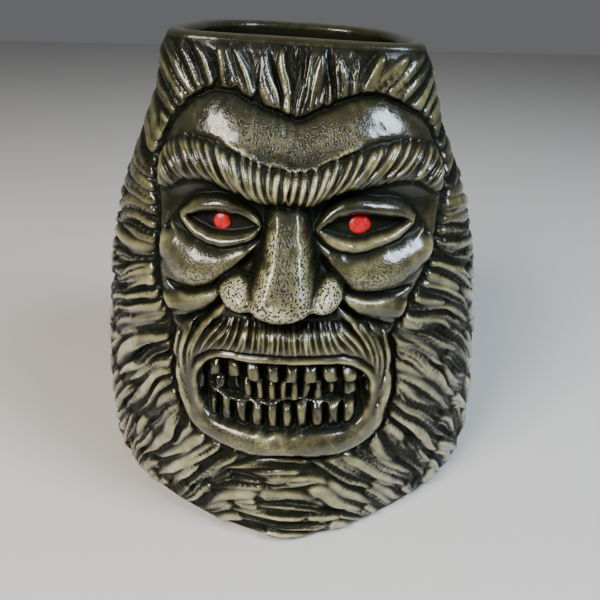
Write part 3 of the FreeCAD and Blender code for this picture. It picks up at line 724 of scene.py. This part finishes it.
def hair_tufts():
    """The height of every tuft of the mane, crown, beard and back."""
    field = np.zeros(SHAPE)
    taken = np.zeros(SHAPE, dtype=bool)
    rng = np.random.default_rng(44)
    for least in (7, 5):        # the fewest points along a tuft, first long ones and then what fits
        for kind, row, column in tuft_roots(rng):
            length = rng.uniform(*TUFT_LENGTH)
            if kind == "middle":
                length *= 0.5
            places = grow_tuft(row, column, length, taken)
            if kind == "middle":
                places = grow_tuft(row, column, length, taken, -1.0)[:0:-1] + places
            crown = kind == "edge" and grid.z[int(row), int(column)] > 116
            if len(places) < (3 if crown else least):
                continue
            claim(taken, places)
            line = [grid_point(*place) for place in places]
            stroke(field, line, rng.uniform(*TUFT_WIDTH) * TUFT_PITCH, rng.uniform(*TUFT_HEIGHT), 0.85)
    return field


def hair_height():
    """Tufts with fine combed strands on them; the strands are wanted on their own as well."""
    strands = 0.75 * combed(71, 1.8) + 0.55 * combed(72, 0.85)
    strands = np.where(strands > 0, 0.5 * np.tanh(strands), 1.15 * strands) * smooth(-0.3, -3.0, face_in)
    height = 1.15 + 0.62 * tufts + strands * (0.55 + 0.25 * smooth(0.4, 2.4, tufts))
    return HAIR_LIMIT * np.tanh(np.maximum(height, 0.1) / HAIR_LIMIT), strands


def bristly_face():
    """The face with the strands of its brow and moustache."""
    rows = [(r[0], r[1], r[2], 1.0) for r in BROW_ROWS]
    brow_share = roll(np.abs(warp_x), warp_z, rows, 0.4) * (grid.y < 0)
    width = muzzle_width(grid.z)
    lip_share = smooth(0.8, LIP_WIDTH, mouth_ring) * smooth(MOUTH_Z - 12, MOUTH_Z - 2, grid.z)
    lip_share = lip_share * (face_in > 0) * smooth(width + 2.5, width - 1, mouth_ring)
    height = face_h + 1.5 * (brow_strands() - 0.6) * brow_share
    return np.maximum(height + 1.6 * (moustache_strands() - 0.5) * lip_share, -0.1)


def whole_relief():
    """Face and hair together, calm at the foot and under the rim."""
    hair = 0.1 + (hair_field - 0.1) * smooth(0.5, -2.0, face_in)
    height = np.where(face_in > 0, bristly_face(), hair)
    fade = smooth(-0.6, 1.2, grid.z - FOOT_TOP) * smooth(-0.4, 2.0, grid.top[None, :] - grid.z)
    return blur(height * fade + 0.3 * (1 - fade), 0.65, 0.65)


tufts = hair_tufts()
hair_field, comb = hair_height()
relief = whole_relief()


# --- which part each place belongs to ---
def hair_part_names():
    """The group of hair that each place outside the face belongs to."""
    name = np.where(grid.x > 0, "right_mane", "left_mane").astype("U16")
    wobble = 6.0 * lumps(14, 31)
    name = np.where(AROUND + wobble > 128.0, "back_hair", name)
    name = np.where((grid.z > 116 + 0.3 * wobble) & (AROUND < 62), "crown_hair", name)
    return np.where((grid.z < 33) & (AROUND + wobble * 0.5 < 27), "beard", name)


def settle(names):
    """Smooth the borders between parts, so that each is one clean patch."""
    best = np.full(SHAPE, -1.0)
    out = names.copy()
    for name in np.unique(names):
        share = blur((names == name).astype(float), 2.0, 2.0)
        out = np.where(share > best, name, out)
        best = np.maximum(best, share)
    return out


part = settle(np.where(face_in > 0, part, hair_part_names()))


# --- colour drivers ---
SPECKLED = ((1.0, 11, 119, 10, 5), (1.0, 0, 114, 10, 6), (1.0, 24, 84.5, 9, 5), (1.0, 12, 82, 7, 5))


def driver_fields():
    """How far each place stands out (1) or lies in a groove (0), how pale it is (with a painted shadow of
    the brow over the sockets), and how speckled.
    """
    x, z = np.abs(warp_x), warp_z
    fine = (relief - blur(relief, 3.2, 3.2)) / 0.62
    broad = (relief - blur(relief, 9.0, 9.0)) / 2.4
    hair = smooth(0.0, -1.5, face_in)
    lit = 0.5 + 0.5 * (0.75 * fine + 0.55 * broad)
    combed_lit = smooth(-0.75, 0.35, comb) * (0.22 + 0.78 * smooth(0.4, 2.4, tufts))
    combed_lit = combed_lit * smooth(0.0, -2.5, face_in)
    ridge = np.clip(lit * (1 - hair) + (0.45 * lit + 0.55 * combed_lit) * hair, 0.0, 1.0)
    pale = (0.02 + 0.18 * smooth(118.0, 60.0, z) + 0.09 * smooth(50, 12, z)) * hair
    pale = pale + 0.07 * lumps(16, 51) + 0.05 * lumps(5, 52)
    spots = (hills(x, z, SPECKLED) + 1.2 * (part == "nose") * smooth(102, 95, z)
             + 0.5 * (part == "lower_lip") * (mouth_ring > 1.5) * (z < MOUTH_Z - 6))
    spots = np.clip(spots, 0, 1) * (grid.y < 0) * (1 - hair)
    pale = pale + 0.40 * blur(spots, 3.0, 3.0)
    # darker on the forehead, lower lip, nose, teeth and in the mouth's grooves; a painted shadow of the brow
    # darkens the sockets and upper lids
    pale = pale - 0.14 * (1 - hair) * smooth(108, 114, z) - 0.10 * np.isin(part, ("lower_lip", "nose"))
    pale = pale - 0.12 * np.isin(part, ("upper_teeth", "lower_teeth"))
    # painted shadow: the brow's shade laid over the sockets and upper lids, not on the brow itself
    pale = pale - 0.40 * bump(x, z, 17, 104.5, 12, 6) * (1 - hair) * (part != "brow")
    pale = pale - 0.25 * (mouth_ring < 0.5) * smooth(0.9, 0.5, ridge)
    # more contrast between the strands' crests and grooves
    pale = pale + 0.10 * np.isin(part, ("upper_lip", "moustache", "brow")) * smooth(0.45, 0.8, ridge)
    pale = pale - 0.16 * (part == "brow") * smooth(0.75, 0.4, ridge)
    return ridge, blur(pale, 1.0, 1.0), spots


ridge, pale, spots = driver_fields()


# --- materials ---
class Nodes:
    """Short calls for building one material's node tree."""

    def __init__(self, name):
        self.material = bpy.data.materials.new(name)
        self.material.use_nodes = True
        self.tree = self.material.node_tree
        self.shader = self.tree.nodes["Principled BSDF"]

    def add(self, kind, **settings):
        node = self.tree.nodes.new(kind)
        for name, value in settings.items():
            setattr(node, name, value)
        return node

    def link(self, source, target):
        self.tree.links.new(source, target)

    def put(self, target, value):
        """Link a socket, or set a plain value."""
        if isinstance(value, bpy.types.NodeSocket):
            self.link(value, target)
        else:
            target.default_value = value

    def set(self, socket, value):
        """Give one of the shader's own sockets a link or a plain value."""
        self.put(self.shader.inputs[socket], value)

    def maths(self, kind, a, b=0.0, clamp=False):
        node = self.add("ShaderNodeMath", operation=kind, use_clamp=clamp)
        self.put(node.inputs[0], a)
        self.put(node.inputs[1], b)
        return node.outputs[0]

    def attribute(self, name):
        return self.add("ShaderNodeAttribute", attribute_name=name).outputs["Fac"]

    def texture(self, kind, output, **values):
        """A texture in the piece's own space."""
        where = self.add("ShaderNodeTexCoord").outputs["Object"]
        node = self.add(kind)
        self.link(where, node.inputs["Vector"])
        for title, value in values.items():
            node.inputs[title].default_value = value
        return node.outputs[output]

    def noise(self, scale, detail=3.0, rough=0.5):
        return self.texture("ShaderNodeTexNoise", "Fac", Scale=scale, Detail=detail, Roughness=rough)

    def cells(self, scale):
        return self.texture("ShaderNodeTexVoronoi", "Distance", Scale=scale)

    def ramp(self, value, stops):
        node = self.add("ShaderNodeValToRGB")
        self.link(value, node.inputs[0])
        elements = node.color_ramp.elements
        while len(elements) < len(stops):
            elements.new(0.5)
        for element, (place, colour) in zip(elements, stops):
            element.position = place
            element.color = (*colour, 1.0)
        return node.outputs["Color"]

    def mix(self, share, a, b, kind="MIX"):
        node = self.add("ShaderNodeMix", data_type="RGBA", blend_type=kind)
        self.put(node.inputs[0], share)
        self.put(node.inputs[6], a)
        self.put(node.inputs[7], b)
        return node.outputs[2]

    def remap(self, value, low, high, new_low=0.0, new_high=1.0):
        node = self.add("ShaderNodeMapRange")
        self.link(value, node.inputs[0])
        for place, number in zip((1, 2, 3, 4), (low, high, new_low, new_high)):
            node.inputs[place].default_value = number
        return node.outputs[0]

    def bump(self, height, strength, distance):
        node = self.add("ShaderNodeBump")
        node.inputs["Strength"].default_value = strength
        node.inputs["Distance"].default_value = distance
        self.link(height, node.inputs["Height"])
        self.link(node.outputs["Normal"], self.shader.inputs["Normal"])


GLAZE = (
    (0.00, (0.003, 0.004, 0.002)), (0.28, (0.010, 0.011, 0.005)), (0.46, (0.036, 0.033, 0.014)),
    (0.62, (0.098, 0.090, 0.038)), (0.80, (0.245, 0.228, 0.112)), (1.00, (0.460, 0.435, 0.280)),
)


def glaze_material():
    """Ash glaze over dark stain: black-green pooled in the grooves, pale and speckled where it is high."""
    n = Nodes("ash_glaze")
    mottled = n.maths("MULTIPLY", n.maths("SUBTRACT", n.noise(260.0, 4.0, 0.6), 0.5), 0.55)
    share = n.maths("ADD", n.maths("ADD", n.attribute("pale"), 0.68), mottled)
    value = n.maths("MULTIPLY", n.attribute("ridge"), share, clamp=True)
    colour = n.ramp(value, GLAZE)
    rust = n.remap(n.noise(75.0, 2.0), 0.55, 0.75, 0.0, 0.45)
    colour = n.mix(rust, colour, (0.62, 0.40, 0.20, 1.0), "MULTIPLY")
    dots = n.remap(n.cells(1450.0), 0.40, 0.54, 1.0, 0.0)
    patchy = n.remap(n.noise(800.0, 2.0), 0.32, 0.44)
    dark = n.maths("MULTIPLY", n.maths("MULTIPLY", dots, patchy), n.attribute("spots"), clamp=True)
    colour = n.mix(dark, colour, (0.010, 0.010, 0.006, 1.0))
    n.set("Base Color", colour)
    gloss = n.remap(n.noise(420.0, 3.0), 0.35, 0.7, 0.0, 0.16)
    worn = n.remap(n.attribute("ridge"), 0.2, 0.5, 0.40, 0.14)
    n.set("Roughness", n.maths("ADD", gloss, worn))
    n.set("Coat Weight", n.remap(n.attribute("ridge"), 0.25, 0.55, 0.04, 0.45))
    n.set("Coat Roughness", 0.07)
    n.set("Specular IOR Level", n.remap(n.attribute("ridge"), 0.25, 0.6, 0.08, 0.55))
    grain = n.maths("SUBTRACT", n.noise(1100.0, 3.0), n.maths("MULTIPLY", dark, 0.8))
    n.bump(grain, 0.35, 0.00025)
    return n.material


def noisy_material(name, colour_noise, colours, rough_scale, rough, bump_noise, strength, distance,
                   coat=0.0):
    """A material whose colour, roughness and fine bump each follow their own noise."""
    n = Nodes(name)
    n.set("Base Color", n.ramp(n.noise(*colour_noise), ((0.3, colours[0]), (0.7, colours[1]))))
    n.set("Roughness", n.remap(n.noise(rough_scale), 0.3, 0.7, *rough))
    n.set("Coat Weight", coat)
    n.bump(n.noise(*bump_noise), strength, distance)
    return n.material


ash = glaze_material()
pool = noisy_material(          # the thick, nearly black green glaze inside the mug
    "pooled_glaze", (60.0, 3.0), ((0.004, 0.008, 0.004), (0.012, 0.030, 0.012)),
    200.0, (0.05, 0.14), (120.0, 2.0), 0.12, 0.0006, coat=0.5,
)
enamel = noisy_material(        # red enamel on the irises, brushed on by hand
    "red_enamel", (700.0, 3.0), ((0.30, 0.002, 0.005), (0.66, 0.008, 0.016)),
    500.0, (0.22, 0.40), (700.0, 3.0), 0.3, 0.0002,
)
clay = noisy_material(          # bare fired stoneware under the foot
    "bare_clay", (500.0, 5.0), ((0.36, 0.29, 0.20), (0.56, 0.48, 0.36)),
    900.0, (0.75, 0.95), (1400.0, 4.0), 0.4, 0.0002,
)

# --- meshes ---
SURFACE = BASE + grid.push * relief[..., None]
BEHIND = BASE - grid.normal * SKIN_BACK
SURFACE_NORMAL = Grid.normals(SURFACE[..., 0], SURFACE[..., 1], SURFACE[..., 2])
SURFACE_NORMAL[0] = SURFACE_NORMAL[1]


def make_piece(name, points, faces, material, slot, nodes, smooth_faces=None):
    """A piece from points in millimetres, which rides on the root and stands for CAD nodes."""
    mesh = bpy.data.meshes.new(name)
    mesh.from_pydata((np.asarray(points) * MM).tolist(), [], faces)
    if smooth_faces is None:
        mesh.shade_smooth()
    else:
        mesh.polygons.foreach_set("use_smooth", smooth_faces)
    mesh.materials.append(material)
    piece = bpy.data.objects.new(name, mesh)
    bpy.context.scene.collection.objects.link(piece)
    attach(piece, "root")
    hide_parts(*nodes)
    return piece


def paint(piece, name, values):
    """Store a number for each point of a piece, for its material to read."""
    layer = piece.data.attributes.new(name, "FLOAT", "POINT")
    layer.data.foreach_set("value", np.asarray(values, dtype=np.float32))


def skin_piece(name, mask, slot):
    """One closed relief skin: the fine front, its cut sides and a coarse back against the vessel."""
    rows, columns = SHAPE
    across_seam = mask[:, 0].any() and mask[:, -1].any()
    shift = columns // 2 if across_seam else 0
    cells = np.roll(mask, shift, axis=1)
    faces = cells[:-1, :-1] & cells[1:, :-1] & cells[:-1, 1:] & cells[1:, 1:]
    number = np.full(SHAPE, -1)
    used = np.zeros(SHAPE, dtype=bool)
    for dr in (0, 1):
        for dc in (0, 1):
            used[dr:rows - 1 + dr, dc:columns - 1 + dc] |= faces
    number[used] = np.arange(used.sum())
    front = [np.roll(field, shift, axis=1)[used] for field in (SURFACE, SURFACE_NORMAL)]
    quads = np.stack([number[:-1, :-1], number[:-1, 1:], number[1:, 1:], number[1:, :-1]], axis=-1)[faces]
    loops, back_points, back_faces = back_of(faces, number, np.roll(BEHIND, shift, axis=1), len(front[0]))
    points = np.vstack([front[0], back_points])
    all_faces = quads.tolist() + loops + back_faces
    smooth_faces = [True] * len(quads) + [False] * (len(loops) + len(back_faces))
    piece = make_piece(name, points, all_faces, ash, slot, [name], smooth_faces)
    normals = np.zeros((len(piece.data.loops), 3))
    normals[:4 * len(quads)] = front[1][quads.reshape(-1)]
    piece.data.normals_split_custom_set(normals.tolist())
    for title, field in (("ridge", ridge), ("pale", pale), ("spots", spots)):
        values = np.roll(field, shift, axis=1)[used]
        paint(piece, title, np.concatenate([values, np.zeros(len(back_points))]))
    return piece


def back_of(faces, number, behind, first):
    """The sides and the coarse back of a skin, as faces and points numbered from first."""
    rows, columns = faces.shape
    padded = np.pad(faces, 1)
    edges = []
    for (dr, dc), (a, b) in (((-1, 0), ((0, 0), (0, 1))), ((0, 1), ((0, 1), (1, 1))),
                             ((1, 0), ((1, 1), (1, 0))), ((0, -1), ((1, 0), (0, 0)))):
        open_side = faces & ~padded[1 + dr:1 + dr + rows, 1 + dc:1 + dc + columns]
        for r, c in zip(*np.nonzero(open_side)):
            edges.append(((r + a[0], c + a[1]), (r + b[0], c + b[1])))
    rim = sorted({place for edge in edges for place in edge})
    known = {place: k for k, place in enumerate(rim)}
    inner = [(r, c) for r in range(0, rows, BACK_STEP_CELLS) for c in range(0, columns, BACK_STEP_CELLS)
             if faces[max(r - 2, 0):r + 3, max(c - 2, 0):c + 3].all()]
    flat = [Vector((float(c), float(r))) for r, c in rim + inner]
    pairs = [(known[a], known[b]) for a, b in edges]
    placed, _, triangles, origin, _, _ = delaunay_2d_cdt(flat, pairs, [], 0, 1e-4)
    source = [o[0] if o else -1 for o in origin]
    places = rim + inner
    back = np.array([behind[r, c] for r, c in places])
    sides = [
        [number[b], number[a], first + known[a], first + known[b]] for a, b in edges
    ]
    kept = []
    for triangle in triangles:
        centre = sum((placed[k] for k in triangle), Vector((0.0, 0.0))) / 3
        r, c = int(centre.y), int(centre.x)
        if 0 <= r < rows and 0 <= c < columns and faces[r, c]:
            kept.append([first + source[k] for k in reversed(triangle)])
    return [[int(v) for v in side] for side in sides], back, kept


SLOTS = {"nose": "skin_glaze", "brow": "hair_glaze", "moustache": "hair_glaze", "face_plate": "skin_glaze",
         "upper_lip": "skin_glaze", "lower_lip": "skin_glaze", "upper_teeth": "tooth_glaze",
         "lower_teeth": "tooth_glaze", "crown_hair": "hair_glaze", "back_hair": "hair_glaze",
         "beard": "hair_glaze"}
PAIRED = {"cheek": "skin_glaze", "eyeball": "eye_glaze", "upper_lid": "skin_glaze",
          "lower_lid": "skin_glaze", "mane": "hair_glaze"}
for kind, slot in PAIRED.items():
    SLOTS["right_" + kind] = SLOTS["left_" + kind] = slot


def grown(mask):
    """A part's places and their next neighbours, so that neighbouring skins meet."""
    wide = mask | np.roll(mask, 1, axis=1)
    wide[1:] |= wide[:-1].copy()
    return wide


for name, slot in SLOTS.items():
    skin_piece(name, grown(part == name), slot)


def ring_grid(rings):
    """Quads between rings of equal length, each closed round."""
    count = len(rings[0])
    faces = []
    for k in range(len(rings) - 1):
        for j in range(count):
            i = (j + 1) % count
            faces.append([k * count + j, k * count + i, (k + 1) * count + i, (k + 1) * count + j])
    return np.vstack(rings), faces


ROUND = np.radians(np.arange(-270.0, 90.0, 1.0))


def wall_ring(drop_or_z, inward, from_rim):
    """A ring on the wall, inward of its outside, at a height or below the rim."""
    x, y, _ = outside.at(ROUND, np.full(ROUND.shape, RIM_TOP - 8.0))
    top = rim_height(x, y) - LIP_HIGH
    z = top - drop_or_z if from_rim else np.full(ROUND.shape, float(drop_or_z))
    low = np.minimum(z, top)
    x, y, _ = outside.at(ROUND, low)
    ring = np.stack([x, y], axis=-1)
    way = np.roll(ring, -1, axis=0) - np.roll(ring, 1, axis=0)
    way = np.stack([-way[:, 1], way[:, 0]], axis=-1)
    way /= np.linalg.norm(way, axis=1, keepdims=True)
    ring = ring + way * np.reshape(inward, (-1, 1))
    return np.column_stack([ring, z])


def make_rim():
    """The rolled lip, from the outside of the wall over to the inside and a little way down it."""
    rings, crest = [], []
    for turn in np.radians(np.linspace(180.0, 0.0, 17)):
        rings.append(wall_ring(-LIP_HIGH * math.sin(turn), WALL / 2 + LIP_R * math.cos(turn), True))
        crest.append(0.42 + 0.30 * math.sin(turn) ** 4)
    for drop in np.linspace(0.5, LIP_INSIDE, 6):
        rings.append(wall_ring(drop, WALL + 0.3, True))
        crest.append(0.42 - 0.42 * drop / LIP_INSIDE)
    rings.append(wall_ring(LIP_INSIDE, WALL - 0.6, True))
    rings.append(wall_ring(0.1, WALL - 0.6, True))
    rings.append(wall_ring(0.1, 0.1, True))
    rings.append(rings[0].copy())
    crest += [0.2] * 4
    points, faces = ring_grid(rings)
    piece = make_piece("mug_rim", points, faces, ash, "rim_glaze", ["rim_lip"])
    paint(piece, "ridge", np.repeat(crest, len(ROUND)))
    paint(piece, "pale", np.full(len(points), 0.06))
    paint(piece, "spots", np.zeros(len(points)))


def make_body():
    """The vessel under the relief: its underside, outer wall, inner wall and floor."""
    rings = [wall_ring(FOOT_TOP, 30.0, False), wall_ring(FOOT_TOP, SKIN_BACK, False)]
    heights = np.linspace(FOOT_TOP + 2, RIM_TOP - 12, 24)
    rings += [wall_ring(z, SKIN_BACK, False) for z in heights]
    rings += [wall_ring(0.15, SKIN_BACK, True), wall_ring(0.15, WALL, True)]
    floor = FOOT_TOP + FLOOR
    corner = 7.0
    rings += [wall_ring(z, WALL, False) for z in np.linspace(RIM_TOP - 9, floor + corner, 24)]
    for turn in np.radians(np.linspace(10, 90, 8)):
        rings.append(wall_ring(floor + corner * (1 - math.sin(turn)),
                               WALL + corner * (1 - math.cos(turn)), False))
    last = rings[-1]
    middle = last.mean(axis=0)
    for share in (0.7, 0.4, 0.15):
        rings.append(middle + (last - middle) * share)
    points, faces = ring_grid(rings)
    count = len(ROUND)
    faces.append(list(range(count))[::-1])
    faces.append(list(range(len(points) - count, len(points))))
    make_piece("mug_body", points, faces, pool, "body_glaze", ["vessel"])


IRIS_POINTS = 40
# share of the radius, and height over the eyeball, from the middle out and back underneath
IRIS_SECTION = ((0.06, 0.42), (0.3, 0.40), (0.6, 0.34), (0.85, 0.22), (1.0, -0.1), (0.9, -0.6), (0.1, -0.6))


def make_iris(side):
    """A low red cap on the eyeball, looking inwards and down."""
    name = ("right" if side > 0 else "left") + "_iris"
    middle = middle_and_half(name)[0]
    rings = []
    turn = np.linspace(0, math.tau, IRIS_POINTS, endpoint=False)
    for share, lift in IRIS_SECTION:
        x = middle[0] + IRIS_HALF[0] * 1.02 * share * np.cos(turn)
        z = middle[2] + IRIS_HALF[2] * 0.86 * share * np.sin(turn)
        base = on_face(x, z)
        high = eye_height(np.abs(x + turned(x, z)), z)
        rings.append(base + np.array([0, -1, 0]) * (high + lift)[:, None])
    points, faces = ring_grid(rings)
    faces = [face[::-1] for face in faces]
    faces.append(list(range(IRIS_POINTS)))
    faces.append(list(range(len(points) - IRIS_POINTS, len(points)))[::-1])
    make_piece(name, points, faces, enamel, "red_enamel", [name])


make_rim()
make_body()
make_iris(-1)
make_iris(1)
for material_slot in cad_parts["dry_foot"].material_slots:
    material_slot.material = clay


# --- floor, light and camera ---
CAMERA_PLACE = (2.6, -178.6, 153.0)     # millimetres
CAMERA_DOWN, CAMERA_TWIST = 27.7, 1.4   # degrees
FLOOR_HALF = 1.6                        # metres


def area_light(name, place, target, size, power, colour):
    """A rectangular lamp that faces a point."""
    data = bpy.data.lights.new(name, "AREA")
    data.shape = "RECTANGLE"
    data.size, data.size_y = size
    data.energy = power
    data.color = colour
    lamp = bpy.data.objects.new(name, data)
    lamp.location = place
    way = Vector(target) - lamp.location
    lamp.rotation_euler = way.to_track_quat("-Z", "Y").to_euler()
    bpy.context.scene.collection.objects.link(lamp)


def add_floor():
    """A plain pale floor."""
    mesh = bpy.data.meshes.new("floor")
    corners = [(x * FLOOR_HALF, y * FLOOR_HALF, 0) for x, y in ((-1, -1), (1, -1), (1, 1), (-1, 1))]
    mesh.from_pydata(corners, [], [(0, 1, 2, 3)])
    floor = bpy.data.objects.new("floor", mesh)
    bpy.context.scene.collection.objects.link(floor)
    n = Nodes("floor_paint")
    n.set("Base Color", (0.62, 0.60, 0.57, 1))
    n.set("Roughness", 0.6)
    mesh.materials.append(n.material)


def add_camera():
    """The camera, looking down at the face and turned a little in its own plane."""
    data = bpy.data.cameras.new("camera")
    data.sensor_width = 36.0
    data.lens = 36.0
    camera = bpy.data.objects.new("camera", data)
    camera.location = Vector(CAMERA_PLACE) * MM
    camera.rotation_mode = "QUATERNION"
    tilt = Euler((math.radians(90.0 - CAMERA_DOWN), 0.0, 0.0)).to_quaternion()
    twist = Euler((0.0, 0.0, math.radians(CAMERA_TWIST))).to_quaternion()
    camera.rotation_quaternion = tilt @ twist
    bpy.context.scene.collection.objects.link(camera)
    bpy.context.scene.camera = camera


add_floor()
add_camera()
area_light("key", (-0.35, -0.45, 0.55), (0, 0, 0.07), (0.30, 0.30), 8.0, (1.0, 0.92, 0.82))
area_light("window", (0.45, -0.25, 0.60), (0, 0, 0.08), (0.22, 0.34), 7.0, (0.72, 0.85, 1.0))
world = bpy.data.worlds.new("studio")
world.use_nodes = True
world.node_tree.nodes["Background"].inputs["Color"].default_value = (0.6, 0.62, 0.65, 1)
world.node_tree.nodes["Background"].inputs["Strength"].default_value = 0.22
bpy.context.scene.world = world
